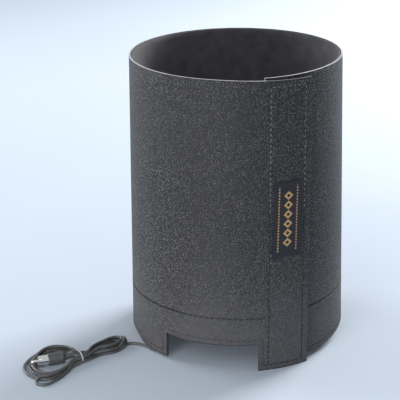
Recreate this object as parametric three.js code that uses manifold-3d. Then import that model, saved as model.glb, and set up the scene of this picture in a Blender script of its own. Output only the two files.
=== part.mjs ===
// A heated dew shield for a telescope tube of about 180 mm: a plastic sheet rolled
// into a tube and closed by a hook-and-loop flap, lined with felt, with a heating
// wire sewn into its lower band and a power cord tied in a hank beside it.
// Millimetres, +Z up. The origin is on the axis of the roll, level with its foot.
// Angles run from -Y towards +X. The roll starts under the flap and ends at its edge.
import * as THREE from "three";
import { mergeVertices } from "three/addons/utils/BufferGeometryUtils.js";
import Module from "manifold-3d";

const wasm = await Module();
wasm.setup();

// The rolled sheet
const SHEET_HEIGHT = 260.5;
const TOP_RADIUS = 93.3;
const FOOT_FLARE = 3.7;
const FOOT_RADIUS = TOP_RADIUS + FOOT_FLARE;
const SHELL_THICKNESS = 1.5;
const FACET_ANGLE = 6;
const CLEARANCE = 0.3;

// Where the sheet starts and ends, and how far its edges stray from level
const ROLL_START_ANGLE = 15;
const FLAP_WIDTH_ANGLE = 25.2;
const FLAP_END_ANGLE = ROLL_START_ANGLE + 360 + FLAP_WIDTH_ANGLE;
const SETTLE_ANGLE = 62;
const FLAP_TOP_DROP = 2.8;
const SIDE_FOOT_RISE = 8;
const CORD_FOOT_RISE = 3.2;

// The notch for a dovetail rail
const NOTCH_START_ANGLE = 320;
const NOTCH_WIDTH_ANGLE = 50.5;
const NOTCH_HEIGHT = 24.5;
const NOTCH_END_ANGLE = NOTCH_START_ANGLE + NOTCH_WIDTH_ANGLE;

// The felt lining
const FELT_THICKNESS = 1.2;
const FELT_FOOT_INSET = 1;
const FELT_TOP_INSET = 0.5;
const FELT_END_INSET = 0.8;

// The hook-and-loop closure
const STRIP_THICKNESS = 1.2;
const STRIP_EDGE_INSET_ANGLE = 2.2;
const STRIP_TOP_INSET = 6;
const STRIP_FOOT_INSET = 5;
const OVERLAP_STEP = SHELL_THICKNESS + 2 * STRIP_THICKNESS + 3 * CLEARANCE;

// The heater between the shell and the felt
const SEAM_HEIGHT = 49.3;
const TAPE_LOW = 29.5;
const TAPE_HIGH = 45.5;
const TAPE_THICKNESS = 0.4;
const TAPE_START_ANGLE = 48;
const TAPE_END_INSET_ANGLE = 4;
const WIRE_SIZE = 0.6;
const WIRE_LOW = 34;
const WIRE_HIGH = 41;
const WIRE_END_INSET_ANGLE = 2;
const POCKET_DEPTH = SHELL_THICKNESS + TAPE_THICKNESS + WIRE_SIZE + 4 * CLEARANCE;

// The joint between the heating wire and the cord
const JOINT_ANGLE = 313.5;
const JOINT_HALF_ANGLE = 2.6;
const CRIMP_RADIUS = 0.9;
const CRIMP_LENGTH = 4.6;
const CRIMP_TOP = 26.6;
const LEAD_SIZE = 0.9;
const SLEEVE_RADIUS = 1.9;
const SLEEVE_LENGTH = 5;
const SLEEVE_FOOT = 11.6;
const BULGE_HALF_ANGLE = 10;
const BULGE_TOP = 33;
const CORD_DEPTH = SHELL_THICKNESS + 2 * CLEARANCE + SLEEVE_RADIUS;
const BULGE_DEPTH = CORD_DEPTH + SLEEVE_RADIUS + CLEARANCE - POCKET_DEPTH;

// Threads on the outside of the sheet
const THREAD_WIDTH = 0.7;
const HEM_INSET = 4.6;
const HEM_INSET_ANGLE = 2.8;

// The sewn label
const LABEL_THICKNESS = 0.5;
const LABEL_FOOT = 104;
const LABEL_HEIGHT = 67.5;
const LABEL_WIDTH_ANGLE = 17.6;

// The cord and its hank
const CORD_DIAMETER = 2.6;
const CORD_SIDES = 8;
const CORD_STEPS = 26;
const HANK_HEIGHT = 7.8;
const HANK_TIE_POINT = new THREE.Vector2(-138.5, -77);
const LEFT_LOOP_CENTRE = new THREE.Vector2(-162.5, -95);
const LEFT_LOOP_HALF = new THREE.Vector2(26, 32);
const RIGHT_LOOP_CENTRE = new THREE.Vector2(-115.5, -54);
const RIGHT_LOOP_RADIUS = 13;
const WAIST_HALF_WIDTH = 7.3;
const TIE_THICKNESS = 1.1;
const TIE_WIDTH = 1.6;
const TIE_TAIL_LENGTH = 7;

// The phono plug on the end of the cord, measured from the tip of its pin
const PLUG_TIP = new THREE.Vector2(-181, -91.5);
const PLUG_HEADING = 21.5;
const PIN_RADIUS = 1.6;
const PIN_REACH = 6.6;
const GROUND_INNER_RADIUS = 3.9;
const GROUND_WALL = 0.6;
const GROUND_LENGTH = 8.5;
const GROUND_SEAT = 2.4;
const GROUND_SLOT_WIDTH = 1;
const GROUND_SLOT_LENGTH = 5.5;
const INSULATOR_SET_BACK = 1.2;
const BODY_RADIUS = 5.3;
const BODY_LENGTH = 15.4;
const RELIEF_LENGTH = 7.9;
const RELIEF_RADIUS = 3.3;
const RELIEF_END_RADIUS = 1.9;
const RELIEF_RIBS = 4;
const ROUND_SEGMENTS = 24;

// Materials
const material = (color, roughness, metalness = 0) =>
  new THREE.MeshStandardMaterial({ color, roughness, metalness });
const pebbledPlastic = material(0x35363a, 0.62);
const darkFelt = material(0x2a2b2e, 0.95);
const hookTape = material(0x1a1a1c, 0.9);
const loopTape = material(0x202023, 0.95);
const wovenTape = material(0xd6cfbb, 0.85);
const resistanceWire = material(0xb9b4aa, 0.4, 0.9);
const leadRubber = material(0x9c1f1b, 0.55);
const leadRubberDark = material(0x17171a, 0.55);
const tinnedCrimp = material(0xc4c6c9, 0.35, 0.95);
const shrinkSleeve = material(0x0f0f10, 0.6);
const darkThread = material(0x151517, 0.8);
const greyThread = material(0x77787c, 0.8);
const wovenLabel = material(0x14151f, 0.75);
const cordJacket = material(0x232428, 0.4);
const tieWire = material(0xc9c9c6, 0.4);
const mouldedPlastic = material(0x1b1b1e, 0.45);
const chromePlate = material(0xd9d9dc, 0.15, 1);
const paleInsulator = material(0xe4e1d8, 0.6);

// Solids made with boolean cuts and joins
function toManifold(geometry) {
  const bare = geometry.clone();
  bare.deleteAttribute("normal");
  bare.deleteAttribute("uv");
  const merged = mergeVertices(bare, 1e-4);
  return new wasm.Manifold(
    new wasm.Mesh({
      numProp: 3,
      vertProperties: new Float32Array(merged.attributes.position.array),
      triVerts: new Uint32Array(merged.index.array),
    }),
  );
}

function fromManifold(solid) {
  const mesh = solid.getMesh();
  const geometry = new THREE.BufferGeometry();
  geometry.setAttribute("position", new THREE.BufferAttribute(mesh.vertProperties, 3));
  geometry.setIndex(new THREE.BufferAttribute(mesh.triVerts, 1));
  geometry.computeVertexNormals();
  return geometry;
}

function joined(geometries) {
  const solids = geometries.map(toManifold);
  return fromManifold(solids.reduce((sum, solid) => sum.add(solid)));
}

function cut(geometry, cutters) {
  let solid = toManifold(geometry);
  for (const cutter of cutters) {
    solid = solid.subtract(toManifold(cutter));
  }
  return fromManifold(solid);
}

// The roll: where a point of the flat sheet comes to lie
function overlapOffset(angle) {
  const start = ROLL_START_ANGLE + FLAP_WIDTH_ANGLE;
  const inward = 1 - THREE.MathUtils.smoothstep(angle, start, start + SETTLE_ANGLE);
  const flapStart = ROLL_START_ANGLE + 360 - 3;
  const outward = THREE.MathUtils.smoothstep(angle, flapStart - SETTLE_ANGLE, flapStart);
  return (OVERLAP_STEP / 2) * (outward - inward);
}

function radiusAt(height) {
  return FOOT_RADIUS + ((TOP_RADIUS - FOOT_RADIUS) * height) / SHEET_HEIGHT;
}

function stationPoint(station, height, depth) {
  const angle = station * FACET_ANGLE;
  const radius = radiusAt(height) + overlapOffset(angle) - depth;
  const turn = THREE.MathUtils.degToRad(angle);
  return new THREE.Vector3(radius * Math.sin(turn), -radius * Math.cos(turn), height);
}

// Depth runs inwards from the outer face. The sheet is flat between its stations.
function wrap(angle, height, depth) {
  const place = angle / FACET_ANGLE;
  const station = Math.floor(place);
  const from = stationPoint(station, height, depth);
  const to = stationPoint(station + 1, height, depth);
  return from.lerp(to, place - station);
}

function columnsBetween(from, to) {
  const columns = [from];
  const first = Math.floor(from / FACET_ANGLE) + 1;
  for (let station = first; station * FACET_ANGLE < to - 0.01; station += 1) {
    columns.push(station * FACET_ANGLE);
  }
  columns.push(to);
  return columns;
}

// A flat sheet, a box with a grid of faces, bent round the roll. Its rows and
// depths are numbers or functions of the angle and the height.
function bentSheet({ from, to, rows, outer, inner }) {
  const columns = columnsBetween(from, to);
  const across = columns.length - 1;
  const up = rows.length - 1;
  const sheet = new THREE.BoxGeometry(across, up, 1, across, up, 1);
  const position = sheet.attributes.position;
  const valueOf = (value, ...where) => (typeof value === "function" ? value(...where) : value);
  for (let i = 0; i < position.count; i += 1) {
    const angle = columns[Math.round(position.getX(i) + across / 2)];
    const height = valueOf(rows[Math.round(position.getY(i) + up / 2)], angle);
    const face = position.getZ(i) > 0 ? outer : inner;
    const point = wrap(angle, height, valueOf(face, angle, height));
    position.setXYZ(i, point.x, point.y, point.z);
  }
  return sheet;
}

function threadRun(from, to, low, high) {
  const outer = -CLEARANCE - THREAD_WIDTH;
  return bentSheet({ from, to, rows: [low, high], outer, inner: -CLEARANCE });
}

const threadAngle = THREE.MathUtils.radToDeg(THREAD_WIDTH / FOOT_RADIUS);

// A run along the sheet at one height, and a run up it at one angle
const levelRun = (from, to, height) =>
  threadRun(from, to, height - THREAD_WIDTH / 2, height + THREAD_WIDTH / 2);
const uprightRun = (angle, low, high) =>
  threadRun(angle - threadAngle / 2, angle + threadAngle / 2, low, high);

// The sheet's foot is level where it stands, at the back and on the flap. It rises at
// both sides, and a little where the cord passes under it.
const smooth = THREE.MathUtils.smoothstep;

function footEdge(angle) {
  const right = SIDE_FOOT_RISE * (1 - smooth(angle, 75, 135));
  const left = (SIDE_FOOT_RISE - CORD_FOOT_RISE) * smooth(310 - angle, 6, 24);
  const leftEase = smooth(angle, 230, 280);
  const front = 1 - smooth(angle, NOTCH_START_ANGLE, NOTCH_START_ANGLE + 10);
  return right + (left + CORD_FOOT_RISE) * leftEase * front;
}

function topEdge(angle) {
  const drop = FLAP_TOP_DROP * smooth(angle, 345, FLAP_END_ANGLE);
  const back = 1 - smooth(angle, 60, 140);
  return SHEET_HEIGHT - drop - 0.5 * back;
}

const group = new THREE.Group();

function addPiece(name, geometry, surface, parent = group) {
  const mesh = new THREE.Mesh(geometry, surface);
  mesh.name = name;
  parent.add(mesh);
  return mesh;
}

// The outer sheet and its lining
const notchCutter = bentSheet({
  from: NOTCH_START_ANGLE,
  to: NOTCH_END_ANGLE,
  rows: [-SIDE_FOOT_RISE, NOTCH_HEIGHT],
  outer: -SHELL_THICKNESS,
  inner: CORD_DEPTH + BULGE_DEPTH + FELT_THICKNESS + SLEEVE_RADIUS,
});

function outerShell() {
  const sheet = bentSheet({
    from: ROLL_START_ANGLE,
    to: FLAP_END_ANGLE,
    rows: [footEdge, topEdge],
    outer: 0,
    inner: SHELL_THICKNESS,
  });
  return cut(sheet, [notchCutter]);
}

// The felt lies on the shell above the heater seam, stands off it in the heater
// pocket below, and bulges over the joint of the cord.
function feltDepth(angle, height) {
  const pocket = smooth(angle, TAPE_START_ANGLE - 12, TAPE_START_ANGLE - 3);
  const belowSeam = 1 - smooth(height, SEAM_HEIGHT - 1, SEAM_HEIGHT + 3);
  const aside = 1 - smooth(Math.abs(angle - JOINT_ANGLE), BULGE_HALF_ANGLE - 4, BULGE_HALF_ANGLE);
  const belowTape = 1 - smooth(height, BULGE_TOP - 4, BULGE_TOP);
  const flat = SHELL_THICKNESS + CLEARANCE;
  return flat + (POCKET_DEPTH - flat) * pocket * belowSeam + BULGE_DEPTH * aside * belowTape;
}

function feltLiner() {
  const foot = (angle) => footEdge(angle) + FELT_FOOT_INSET;
  const heights = [16, BULGE_TOP - 4, BULGE_TOP, SEAM_HEIGHT - 1, SEAM_HEIGHT + 3];
  const sheet = bentSheet({
    from: ROLL_START_ANGLE + FELT_END_INSET,
    to: ROLL_START_ANGLE + 360 - FELT_END_INSET * 3,
    rows: [foot, ...heights, (angle) => topEdge(angle) - FELT_TOP_INSET],
    outer: feltDepth,
    inner: (angle, height) => feltDepth(angle, height) + FELT_THICKNESS,
  });
  return cut(sheet, [notchCutter]);
}

// The hook strip is on the start of the roll and the loop strip inside the flap
const stripTop = (angle) => topEdge(angle) - STRIP_TOP_INSET;
const stripFoot = (angle) => footEdge(angle) + STRIP_FOOT_INSET;
const stripSpan = FLAP_WIDTH_ANGLE - STRIP_EDGE_INSET_ANGLE;

const hookStrip = () =>
  bentSheet({
    from: ROLL_START_ANGLE + STRIP_EDGE_INSET_ANGLE,
    to: ROLL_START_ANGLE + stripSpan,
    rows: [stripFoot, stripTop],
    outer: -CLEARANCE - STRIP_THICKNESS,
    inner: -CLEARANCE,
  });

const loopStrip = () =>
  bentSheet({
    from: ROLL_START_ANGLE + 360 + STRIP_EDGE_INSET_ANGLE,
    to: ROLL_START_ANGLE + 360 + stripSpan,
    rows: [stripFoot, stripTop],
    outer: SHELL_THICKNESS + CLEARANCE,
    inner: SHELL_THICKNESS + CLEARANCE + STRIP_THICKNESS,
  });

// The heater: a woven tape that carries one loop of wire round the roll
const TAPE_END_ANGLE = ROLL_START_ANGLE + 360 - TAPE_END_INSET_ANGLE;
const tapeDepth = SHELL_THICKNESS + CLEARANCE;
const wireDepth = tapeDepth + TAPE_THICKNESS + CLEARANCE;

const heaterTape = () =>
  bentSheet({
    from: TAPE_START_ANGLE,
    to: TAPE_END_ANGLE,
    rows: [TAPE_LOW, TAPE_HIGH],
    outer: tapeDepth,
    inner: tapeDepth + TAPE_THICKNESS,
  });

const wireAngle = THREE.MathUtils.radToDeg(WIRE_SIZE / FOOT_RADIUS);

function wireRun(from, to, low, high) {
  return bentSheet({
    from,
    to,
    rows: [low, high],
    outer: wireDepth,
    inner: wireDepth + WIRE_SIZE,
  });
}

function heatingWire() {
  const start = TAPE_START_ANGLE + WIRE_END_INSET_ANGLE;
  const end = TAPE_END_ANGLE - WIRE_END_INSET_ANGLE;
  const left = JOINT_ANGLE - JOINT_HALF_ANGLE;
  const right = JOINT_ANGLE + JOINT_HALF_ANGLE;
  const stubFoot = CRIMP_TOP + CLEARANCE;
  return joined([
    wireRun(start, end, WIRE_HIGH, WIRE_HIGH + WIRE_SIZE),
    wireRun(start, start + wireAngle, WIRE_LOW, WIRE_HIGH + WIRE_SIZE),
    wireRun(end - wireAngle, end, WIRE_LOW, WIRE_HIGH + WIRE_SIZE),
    wireRun(start, left, WIRE_LOW, WIRE_LOW + WIRE_SIZE),
    wireRun(right, end, WIRE_LOW, WIRE_LOW + WIRE_SIZE),
    wireRun(left - wireAngle, left, stubFoot, WIRE_LOW + WIRE_SIZE),
    wireRun(right, right + wireAngle, stubFoot, WIRE_LOW + WIRE_SIZE),
  ]);
}

// The crimps, the two leads and the sleeve over the end of the cord
const crimpDepth = wireDepth + WIRE_SIZE / 2;
const SLEEVE_TOP = SLEEVE_FOOT + SLEEVE_LENGTH;

function crimp(side) {
  const angle = JOINT_ANGLE + side * (JOINT_HALF_ANGLE + wireAngle / 2);
  const barrel = new THREE.CylinderGeometry(CRIMP_RADIUS, CRIMP_RADIUS, CRIMP_LENGTH, 10);
  barrel.rotateX(Math.PI / 2);
  const centre = wrap(angle, CRIMP_TOP - CRIMP_LENGTH / 2, crimpDepth);
  barrel.translate(centre.x, centre.y, centre.z);
  return barrel;
}

function roundSection(radius, sides) {
  const section = new THREE.Shape();
  for (let i = 0; i < sides; i += 1) {
    const turn = ((i + 0.5) / sides) * Math.PI * 2;
    const point = [radius * Math.cos(turn), radius * Math.sin(turn)];
    if (i === 0) {
      section.moveTo(...point);
    } else {
      section.lineTo(...point);
    }
  }
  section.closePath();
  return section;
}

function tube(points, radius, sides, steps) {
  const path = new THREE.CatmullRomCurve3(points, false, "centripetal");
  return new THREE.ExtrudeGeometry(roundSection(radius, sides), {
    extrudePath: path,
    steps,
    bevelEnabled: false,
  });
}

function lead(side) {
  const topAngle = JOINT_ANGLE + side * (JOINT_HALF_ANGLE + wireAngle / 2);
  const footAngle = JOINT_ANGLE + side * 0.5;
  const top = CRIMP_TOP - CRIMP_LENGTH - CLEARANCE;
  const foot = SLEEVE_TOP + CLEARANCE;
  const points = [
    wrap(topAngle, top, crimpDepth),
    wrap(topAngle, top - 1.2, crimpDepth),
    wrap(footAngle, foot + 1.2, CORD_DEPTH),
    wrap(footAngle, foot, CORD_DEPTH),
  ];
  return tube(points, LEAD_SIZE / 2, 6, 8);
}

function jointSleeve() {
  const sleeve = new THREE.CylinderGeometry(SLEEVE_RADIUS, SLEEVE_RADIUS, SLEEVE_LENGTH, 16);
  sleeve.rotateX(Math.PI / 2);
  const centre = wrap(JOINT_ANGLE, SLEEVE_FOOT + SLEEVE_LENGTH / 2, CORD_DEPTH);
  sleeve.translate(centre.x, centre.y, centre.z);
  return sleeve;
}

// Threads
const closureStart = ROLL_START_ANGLE + 360 + STRIP_EDGE_INSET_ANGLE;
const closureEnd = FLAP_END_ANGLE - HEM_INSET_ANGLE;
const closureTop = topEdge(FLAP_END_ANGLE) - HEM_INSET;
const flapHemAngle = ROLL_START_ANGLE + 360 - HEM_INSET_ANGLE / 2;

function closureThread() {
  const foot = HEM_INSET - THREAD_WIDTH / 2;
  return joined([
    uprightRun(closureStart, foot, closureTop),
    uprightRun(closureEnd, foot, closureTop),
    levelRun(closureStart, closureEnd, closureTop - THREAD_WIDTH / 2),
    levelRun(closureStart, closureEnd, HEM_INSET),
  ]);
}

function hemThread() {
  const low = (angle) => footEdge(angle) + HEM_INSET - THREAD_WIDTH / 2;
  const high = (angle) => footEdge(angle) + HEM_INSET + THREAD_WIDTH / 2;
  const tabHem = NOTCH_START_ANGLE - HEM_INSET_ANGLE;
  const notchHem = NOTCH_HEIGHT + HEM_INSET;
  const start = ROLL_START_ANGLE + FLAP_WIDTH_ANGLE + HEM_INSET_ANGLE / 2;
  return joined([
    threadRun(start, tabHem, low, high),
    uprightRun(tabHem, low(tabHem), notchHem),
    levelRun(tabHem - threadAngle / 2, flapHemAngle + threadAngle / 2, notchHem),
    uprightRun(flapHemAngle, HEM_INSET, notchHem),
  ]);
}

const seamThread = () =>
  levelRun(
    ROLL_START_ANGLE + FLAP_WIDTH_ANGLE + HEM_INSET_ANGLE / 2,
    closureStart - HEM_INSET_ANGLE / 2,
    SEAM_HEIGHT,
  );

function label() {
  const middle = (closureStart + closureEnd) / 2;
  return bentSheet({
    from: middle - LABEL_WIDTH_ANGLE / 2,
    to: middle + LABEL_WIDTH_ANGLE / 2,
    rows: [LABEL_FOOT, LABEL_FOOT + LABEL_HEIGHT],
    outer: -CLEARANCE - LABEL_THICKNESS,
    inner: -CLEARANCE,
  });
}

// The cord leaves the pocket downwards, turns along the foot of the sheet and
// passes under it to the hank
function cordLead() {
  const floor = CORD_DIAMETER / 2;
  const top = SLEEVE_FOOT - CLEARANCE;
  const points = [
    wrap(JOINT_ANGLE, top, CORD_DEPTH),
    wrap(JOINT_ANGLE, top - 2, CORD_DEPTH),
    wrap(JOINT_ANGLE - 0.3, 6.4, CORD_DEPTH),
    wrap(JOINT_ANGLE - 1.5, 3.2, CORD_DEPTH),
    wrap(JOINT_ANGLE - 3.6, floor + 0.2, CORD_DEPTH),
    new THREE.Vector3(-76.3, -57.2, floor),
    new THREE.Vector3(-81.5, -51.9, floor),
    new THREE.Vector3(-87.2, -47.4, floor),
    new THREE.Vector3(-93.4, -45, floor),
    new THREE.Vector3(-98.8, -45.4, floor),
    new THREE.Vector3(-103.65, -47.7, floor),
  ];
  return tube(points, CORD_DIAMETER / 2, CORD_SIDES, CORD_STEPS);
}

// The hank: two loops joined through a waist, with a place for the plug
function upright(shape, low, high) {
  const solid = new THREE.ExtrudeGeometry(shape, {
    depth: high - low,
    bevelEnabled: false,
    curveSegments: ROUND_SEGMENTS,
  });
  solid.translate(0, 0, low);
  return solid;
}

function ovalShape(centre, halfX, halfY) {
  const shape = new THREE.Shape();
  shape.absellipse(centre.x, centre.y, halfX, halfY, 0, Math.PI * 2);
  return shape;
}

function outlineShape(points) {
  return new THREE.Shape(points.map(([x, y]) => new THREE.Vector2(x, y)));
}

const waistHeading = Math.atan2(
  RIGHT_LOOP_CENTRE.y - LEFT_LOOP_CENTRE.y,
  RIGHT_LOOP_CENTRE.x - LEFT_LOOP_CENTRE.x,
);

function waistPoint(along, side) {
  return [
    HANK_TIE_POINT.x + along * Math.cos(waistHeading) - side * Math.sin(waistHeading),
    HANK_TIE_POINT.y + along * Math.sin(waistHeading) + side * Math.cos(waistHeading),
  ];
}

function waistBlock(halfAlong, halfAcross, low, high) {
  const corners = [
    waistPoint(-halfAlong, -halfAcross),
    waistPoint(halfAlong, -halfAcross),
    waistPoint(halfAlong, halfAcross),
    waistPoint(-halfAlong, halfAcross),
  ];
  return upright(outlineShape(corners), low, high);
}

function plugPoint(along, side) {
  const heading = THREE.MathUtils.degToRad(PLUG_HEADING);
  return [
    PLUG_TIP.x + along * Math.cos(heading) - side * Math.sin(heading),
    PLUG_TIP.y + along * Math.sin(heading) + side * Math.cos(heading),
  ];
}

function plugPocket(from, to, halfWidth, low) {
  const corners = [
    plugPoint(from, -halfWidth),
    plugPoint(to, -halfWidth),
    plugPoint(to, halfWidth),
    plugPoint(from, halfWidth),
  ];
  return upright(outlineShape(corners), low, HANK_HEIGHT + 1);
}

const PLUG_AXIS_HEIGHT = BODY_RADIUS + 0.2;
const BODY_FRONT = PIN_REACH + GROUND_LENGTH;
const BODY_BACK = BODY_FRONT + BODY_LENGTH;
const RELIEF_START = BODY_BACK + CLEARANCE;
const PLUG_LENGTH = RELIEF_START + RELIEF_LENGTH;

function cordHank() {
  const leftLoop = ovalShape(LEFT_LOOP_CENTRE, LEFT_LOOP_HALF.x, LEFT_LOOP_HALF.y);
  const rightLoop = ovalShape(RIGHT_LOOP_CENTRE, RIGHT_LOOP_RADIUS, RIGHT_LOOP_RADIUS);
  const waist = outlineShape([
    [LEFT_LOOP_CENTRE.x + 2, LEFT_LOOP_CENTRE.y + LEFT_LOOP_HALF.y - 1],
    [LEFT_LOOP_CENTRE.x + 12, LEFT_LOOP_CENTRE.y - LEFT_LOOP_HALF.y + 5],
    waistPoint(0, -WAIST_HALF_WIDTH),
    [RIGHT_LOOP_CENTRE.x + 4, RIGHT_LOOP_CENTRE.y - RIGHT_LOOP_RADIUS + 1.5],
    [RIGHT_LOOP_CENTRE.x - 6, RIGHT_LOOP_CENTRE.y + RIGHT_LOOP_RADIUS - 2.5],
    waistPoint(0, WAIST_HALF_WIDTH),
  ]);
  const whole = joined([
    upright(leftLoop, 0, HANK_HEIGHT),
    upright(rightLoop, 0, HANK_HEIGHT),
    upright(waist, 0, HANK_HEIGHT),
  ]);
  const grooveHalf = TIE_WIDTH / 2 + CLEARANCE;
  const grooved = cut(whole, [
    plugPocket(PIN_REACH - 1.2, RELIEF_START, BODY_RADIUS + 0.7, -1),
    plugPocket(RELIEF_START - 1, PLUG_LENGTH + CLEARANCE, RELIEF_RADIUS + 0.7, -1),
    plugPocket(-1.5, PIN_REACH, PIN_RADIUS + 0.6, PLUG_AXIS_HEIGHT - PIN_RADIUS - 0.5),
    waistBlock(grooveHalf, WAIST_HALF_WIDTH + 3, -1, HANK_HEIGHT + 1),
  ]);
  const core = waistBlock(
    grooveHalf + 0.5,
    WAIST_HALF_WIDTH - CLEARANCE - TIE_THICKNESS / 2,
    TIE_THICKNESS + CLEARANCE,
    HANK_HEIGHT - CLEARANCE - TIE_THICKNESS / 2,
  );
  return joined([grooved, core]);
}

function cordTie() {
  const inner = WAIST_HALF_WIDTH - TIE_THICKNESS / 2;
  const top = HANK_HEIGHT - TIE_THICKNESS / 2;
  const ring = cut(waistBlock(TIE_WIDTH / 2, inner + TIE_THICKNESS, 0, top + TIE_THICKNESS), [
    waistBlock(TIE_WIDTH, inner, TIE_THICKNESS, top),
  ]);
  const tail = new THREE.CylinderGeometry(TIE_THICKNESS, TIE_THICKNESS, TIE_TAIL_LENGTH, 8);
  tail.rotateZ(waistHeading + Math.PI / 2);
  const [x, y] = waistPoint(TIE_WIDTH / 2 - TIE_TAIL_LENGTH / 2, inner - 1);
  tail.translate(x, y, top + TIE_THICKNESS * 1.9);
  return joined([ring, tail]);
}

// The plug: each piece is turned about its axis, from the tip of the pin backwards
function turned(profile) {
  const points = [...profile, profile[0]].map(([r, y]) => new THREE.Vector2(r, y));
  return new THREE.LatheGeometry(points, ROUND_SEGMENTS);
}

const plug = new THREE.Group();
plug.position.set(PLUG_TIP.x, PLUG_TIP.y, PLUG_AXIS_HEIGHT);
plug.rotation.z = THREE.MathUtils.degToRad(PLUG_HEADING - 90);
group.add(plug);

const GROUND_END = BODY_FRONT + GROUND_SEAT;
const groundOuter = GROUND_INNER_RADIUS + GROUND_WALL;

const centrePin = () =>
  turned([
    [0, 0],
    [PIN_RADIUS * 0.7, 0.4],
    [PIN_RADIUS, 1.6],
    [PIN_RADIUS, GROUND_END],
    [0, GROUND_END],
  ]);

const insulator = () =>
  turned([
    [PIN_RADIUS + CLEARANCE, PIN_REACH + INSULATOR_SET_BACK],
    [GROUND_INNER_RADIUS - CLEARANCE, PIN_REACH + INSULATOR_SET_BACK],
    [GROUND_INNER_RADIUS - CLEARANCE, GROUND_END],
    [PIN_RADIUS + CLEARANCE, GROUND_END],
  ]);

function groundShell() {
  const sleeve = turned([
    [GROUND_INNER_RADIUS, PIN_REACH],
    [groundOuter, PIN_REACH],
    [groundOuter, GROUND_END],
    [GROUND_INNER_RADIUS, GROUND_END],
  ]);
  const slots = [0, 1].map((turn) => {
    const slot = new THREE.BoxGeometry(
      groundOuter * 3,
      GROUND_SLOT_LENGTH,
      GROUND_SLOT_WIDTH,
    );
    slot.translate(0, PIN_REACH + GROUND_SLOT_LENGTH / 2 - 0.5, 0);
    slot.rotateY(Math.PI / 4 + (turn * Math.PI) / 2);
    return slot;
  });
  return cut(sleeve, slots);
}

function plugBody() {
  const recess = groundOuter + CLEARANCE;
  const recessEnd = GROUND_END + CLEARANCE;
  return turned([
    [0, recessEnd],
    [recess, recessEnd],
    [recess, BODY_FRONT],
    [BODY_RADIUS - 0.4, BODY_FRONT],
    [BODY_RADIUS, BODY_FRONT + 0.6],
    [BODY_RADIUS, BODY_BACK - 2.4],
    [BODY_RADIUS - 0.7, BODY_BACK - 0.8],
    [RELIEF_RADIUS, BODY_BACK],
    [0, BODY_BACK],
  ]);
}

function plugRelief() {
  const profile = [[0, RELIEF_START]];
  const pitch = RELIEF_LENGTH / RELIEF_RIBS;
  for (let i = 0; i < RELIEF_RIBS; i += 1) {
    const radius = THREE.MathUtils.lerp(RELIEF_RADIUS, RELIEF_END_RADIUS, i / (RELIEF_RIBS - 1));
    const start = RELIEF_START + i * pitch;
    profile.push([radius, start], [radius, start + pitch * 0.6]);
    if (i < RELIEF_RIBS - 1) {
      profile.push([radius - 0.5, start + pitch * 0.62], [radius - 0.5, start + pitch * 0.98]);
    }
  }
  profile.push([RELIEF_END_RADIUS, PLUG_LENGTH], [0, PLUG_LENGTH]);
  return turned(profile);
}

addPiece("outer_shell", outerShell(), pebbledPlastic);
addPiece("felt_liner", feltLiner(), darkFelt);
addPiece("hook_strip", hookStrip(), hookTape);
addPiece("loop_strip", loopStrip(), loopTape);
addPiece("heater_tape", heaterTape(), wovenTape);
addPiece("heating_wire", heatingWire(), resistanceWire);
addPiece("crimp_left", crimp(-1), tinnedCrimp);
addPiece("crimp_right", crimp(1), tinnedCrimp);
addPiece("lead_left", lead(-1), leadRubber);
addPiece("lead_right", lead(1), leadRubberDark);
addPiece("joint_sleeve", jointSleeve(), shrinkSleeve);
addPiece("closure_thread", closureThread(), greyThread);
addPiece("hem_thread", hemThread(), darkThread);
addPiece("heater_seam_thread", seamThread(), darkThread);
addPiece("woven_label", label(), wovenLabel);
addPiece("cord_lead", cordLead(), cordJacket);
addPiece("cord_hank", cordHank(), cordJacket);
addPiece("cord_tie", cordTie(), tieWire);
addPiece("plug_centre_pin", centrePin(), chromePlate, plug);
addPiece("plug_insulator", insulator(), paleInsulator, plug);
addPiece("plug_ground_shell", groundShell(), chromePlate, plug);
addPiece("plug_body", plugBody(), mouldedPlastic, plug);
addPiece("plug_strain_relief", plugRelief(), mouldedPlastic, plug);

export default group;
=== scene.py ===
"""The looks of a heated dew shield: a rolled sheet with a flap, its felt, its
stitching, its label, its power cord and phono plug. Metres, in the frame of the
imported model. Angles are in degrees and run from -Y towards +X, as on the roll."""

from __future__ import annotations

import logging
import math
import random
from dataclasses import dataclass, field
from enum import Enum
from typing import Iterable, Sequence, Union

import bmesh
import bpy
from mathutils import Matrix, Vector

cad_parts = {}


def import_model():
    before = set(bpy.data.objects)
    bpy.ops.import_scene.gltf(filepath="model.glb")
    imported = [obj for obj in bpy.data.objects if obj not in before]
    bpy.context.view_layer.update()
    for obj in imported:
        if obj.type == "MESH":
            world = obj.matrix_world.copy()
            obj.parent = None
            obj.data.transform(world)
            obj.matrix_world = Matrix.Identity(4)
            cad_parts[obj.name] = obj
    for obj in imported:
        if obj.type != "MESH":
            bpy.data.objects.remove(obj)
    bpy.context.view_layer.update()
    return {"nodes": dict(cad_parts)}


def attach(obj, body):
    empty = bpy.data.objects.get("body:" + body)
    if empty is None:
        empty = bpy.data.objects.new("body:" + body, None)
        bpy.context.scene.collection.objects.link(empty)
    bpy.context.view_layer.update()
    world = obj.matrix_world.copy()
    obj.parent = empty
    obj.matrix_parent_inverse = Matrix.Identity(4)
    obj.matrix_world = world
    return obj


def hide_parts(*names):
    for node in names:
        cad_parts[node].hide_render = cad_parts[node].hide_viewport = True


LOG = logging.getLogger("dew_shield")
ROOT = "root"
MM = 0.001
FULL_TURN = 360.0
SCORE_TOLERANCE = 1e-6

Number = Union[int, float]
Colour = tuple[float, float, float, float]
Point = tuple[float, float, float]
FlatPoint = tuple[float, float]
Span = tuple[float, float]
Ramp = tuple[float, ...]


class Space(Enum):
    """Where a pattern takes its coordinates from."""

    OBJECT = "Object"
    SHEET = "UV"


class Axis(Enum):
    """A direction on the flat sheet."""

    ROUND = 0
    UP = 1


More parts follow.
